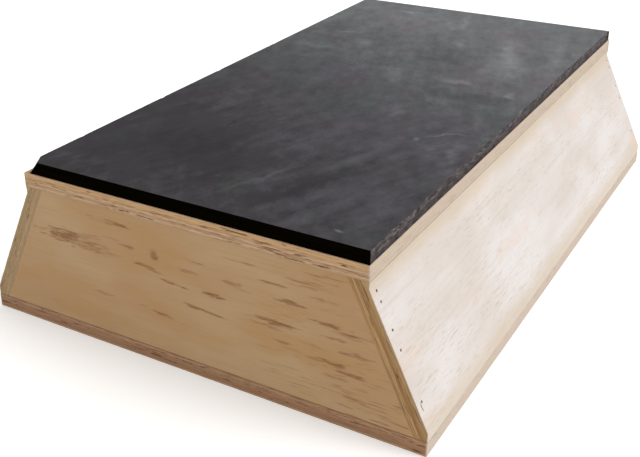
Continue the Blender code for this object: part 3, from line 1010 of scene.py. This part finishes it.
def torn_wood():
    """The walls of the brad holes and of the scar beside one of them."""
    s = Shader("torn_wood")
    fibres = s.noise(s.scaled((0.4, 1.6, 0.4)), detail=3.0, roughness=0.65)
    color = s.mix(s.spread(fibres, 0.35, 0.65), srgb(150, 130, 108), srgb(192, 174, 152))
    return s.finish(color, s.spread(fibres, 0.3, 0.7, 0.7, 0.9), fibres, 0.1 * MM, specular=0.15)


# ---------------------------------------------------------------- stage

WORLD_STRENGTH = 0.72
KEY_STRENGTH = 1.66
KEY_SIZE = 40         # degrees across, for soft shadows
KEY_BEARING = 22      # degrees from +X towards +Y, so from the right and a little behind
KEY_HEIGHT = 46
FLOOR_REACH = 14.0
FLOOR_SIDES = 48
FLOOR_GLOW = 0.25     # a light table's glow, which keeps the shadow faint

# The camera was fitted to the photographed edges; degrees, metres, and its lens in millimetres
CAMERA_LENS = 56.839
CAMERA_AZIMUTH = 30.997
CAMERA_ELEVATION = 24.820
CAMERA_ROLL = -0.495
CAMERA_DISTANCE = 0.53294
CAMERA_TARGET = Vector((0.04057, -0.17554, 0.1065))
CAMERA_SHIFT = (0.0547, -0.0602)


def aim(location, target):
    forward = (Vector(target) - Vector(location)).normalized()
    return forward.to_track_quat("-Z", "Y").to_matrix().to_4x4()


def stage():
    floor_mesh = bpy.data.meshes.new("floor")
    points = []
    for i in range(FLOOR_SIDES):
        angle = math.tau * i / FLOOR_SIDES
        points.append((FLOOR_REACH * math.cos(angle), FLOOR_REACH * math.sin(angle), 0))
    floor_mesh.from_pydata(points, [], [tuple(range(FLOOR_SIDES))])
    floor = bpy.data.objects.new("floor", floor_mesh)
    bpy.context.scene.collection.objects.link(floor)
    s = Shader("floor_paper")
    tone = s.noise(s.scaled((900, 900, 900)))
    color = s.mix(tone, (0.93, 0.93, 0.93, 1), (0.95, 0.95, 0.95, 1))
    roughness = s.spread(tone, 0.3, 0.7, 0.85, 0.9)
    floor_mesh.materials.append(s.finish(
        color, roughness, tone, 0.05 * MM, specular=0.0,
        Emission_Color=(0.95, 0.98, 1.0, 1), Emission_Strength=FLOOR_GLOW))

    world = bpy.data.worlds.new("studio")
    bpy.context.scene.world = world
    world.use_nodes = True
    background = world.node_tree.nodes["Background"]
    background.inputs["Color"].default_value = (1.0, 0.99, 0.98, 1)
    background.inputs["Strength"].default_value = WORLD_STRENGTH

    key = bpy.data.lights.new("key", "SUN")
    key.energy = KEY_STRENGTH
    key.angle = math.radians(KEY_SIZE)
    key.color = (1.0, 0.99, 0.975)
    key_object = bpy.data.objects.new("key", key)
    bearing, height = math.radians(KEY_BEARING), math.radians(KEY_HEIGHT)
    toward = (math.cos(height) * math.cos(bearing), math.cos(height) * math.sin(bearing), math.sin(height))
    key_object.matrix_world = aim(toward, (0, 0, 0))
    bpy.context.scene.collection.objects.link(key_object)


def camera():
    azimuth, elevation, roll = (math.radians(a) for a in (CAMERA_AZIMUTH, CAMERA_ELEVATION, CAMERA_ROLL))
    back = Vector((math.sin(azimuth) * math.cos(elevation), -math.cos(azimuth) * math.cos(elevation),
                   math.sin(elevation)))
    right = (-back).cross(Vector((0, 0, 1))).normalized()
    up = back.cross(right)
    rolled_right = right * math.cos(roll) + up * math.sin(roll)
    rolled_up = up * math.cos(roll) - right * math.sin(roll)
    data = bpy.data.cameras.new("camera")
    data.lens = CAMERA_LENS
    data.sensor_width = 36
    data.shift_x, data.shift_y = CAMERA_SHIFT
    data.clip_start, data.clip_end = 0.01, 100
    obj = bpy.data.objects.new("camera", data)
    turn = Matrix((rolled_right, rolled_up, back)).transposed().to_4x4()
    obj.matrix_world = Matrix.Translation(CAMERA_TARGET + back * CAMERA_DISTANCE) @ turn
    bpy.context.scene.collection.objects.link(obj)
    bpy.context.scene.camera = obj


# ---------------------------------------------------------------- scene

def main():
    side_face = side_veneer()
    end_face = end_veneer()
    under_face = plain_veneer("under_veneer", srgb(196, 172, 138), srgb(186, 158, 122), (3, 60, 3))
    deck_face = plain_veneer("deck_veneer", srgb(196, 166, 126), srgb(184, 150, 108), (2.5, 70, 2.5))
    # The deck's and base's edge colours end with a painted highlight, the pale colour of their long edges.
    deck_edge = ply_edge(
        "deck_ply", (
            (0.0, srgb(184, 154, 122)), (0.13, srgb(190, 153, 108)), (0.33, srgb(178, 143, 106)),
            (0.47, srgb(190, 159, 128)), (0.60, srgb(170, 137, 106)), (0.78, srgb(190, 161, 125)),
            (0.90, srgb(174, 142, 110))),
        srgb(140, 103, 72), srgb(104, 72, 46), srgb(116, 82, 54), (0.30, 0.92, 0.75), srgb(190, 180, 168))
    side_edge = ply_edge(
        "side_ply", (
            (0.0, srgb(168, 139, 103)), (0.14, srgb(168, 136, 96)), (0.28, srgb(154, 120, 78)),
            (0.45, srgb(144, 109, 66)), (0.62, srgb(173, 138, 97)), (0.84, srgb(154, 120, 78))),
        srgb(122, 88, 50), srgb(92, 62, 34), srgb(98, 66, 36), (0.18, 0.88, 0.7))
    base_edge = ply_edge(
        "base_ply", (
            (0.0, srgb(150, 115, 84)), (0.10, srgb(166, 133, 102)), (0.25, srgb(160, 125, 96)),
            (0.385, srgb(154, 117, 88)), (0.615, srgb(148, 112, 84)), (0.86, srgb(168, 138, 106))),
        srgb(120, 82, 56), srgb(84, 54, 34), srgb(92, 60, 38), (0.04, 0.40, 0.85), srgb(202, 192, 180))
    left_edge = ply_edge(
        "side_ply_pale", (
            (0.0, srgb(160, 136, 100)), (0.14, srgb(152, 128, 92)), (0.28, srgb(160, 134, 100)),
            (0.45, srgb(156, 129, 94)), (0.62, srgb(164, 139, 104)), (0.84, srgb(158, 130, 98))),
        srgb(138, 110, 76), srgb(106, 78, 50), srgb(112, 84, 54), (0.18, 0.88, 0.4))
    torn = torn_wood()
    steel = brad_steel()

    base_materials = [base_edge, under_face, under_face]
    base = flat_board("base_plywood", BASE_LOW, BASE_HIGH, base_materials, 21, (22, 6, 16, 6))
    deck_materials = [deck_edge, deck_face, under_face]
    deck = flat_board("deck_plywood", DECK_LOW, DECK_HIGH, deck_materials, 41, (26, 4, 16, 5))
    right = side_panel("side_plywood_right", 1, [side_edge, side_face], 61)
    left = side_panel("side_plywood_left", -1, [left_edge, side_face], 71)
    front = end_panel("end_plywood_front", -1, [end_face], FRONT_FLECKS, 81)
    rear = end_panel("end_plywood_rear", 1, [end_face], random_flecks(5, 24), 91)
    stone = slab([slate_top(), slate_split(), slate_sawn()])
    bed = adhesive_bed([adhesive()])
    drill(base, ("brad_base_",), torn)
    drill(deck, ("brad_deck_",), torn)
    drill(right, ("brad_front_right", "brad_rear_right"), torn, [scar_cutter(torn)])
    drill(left, ("brad_front_left", "brad_rear_left"), torn)

    settle(base, ["base_board"])
    settle(deck, ["deck_board"])
    settle(right, ["side_panel_right"])
    settle(left, ["side_panel_left"])
    settle(front, ["end_panel_front"])
    settle(rear, ["end_panel_rear"])
    settle(stone, ["honing_slab"])
    settle(bed, ["bedding_adhesive"])
    for name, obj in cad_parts.items():
        if name.startswith("brad_"):
            for slot in obj.material_slots:
                slot.material = steel

    stage()
    camera()
    bpy.context.scene.view_settings.view_transform = "Standard"


main()
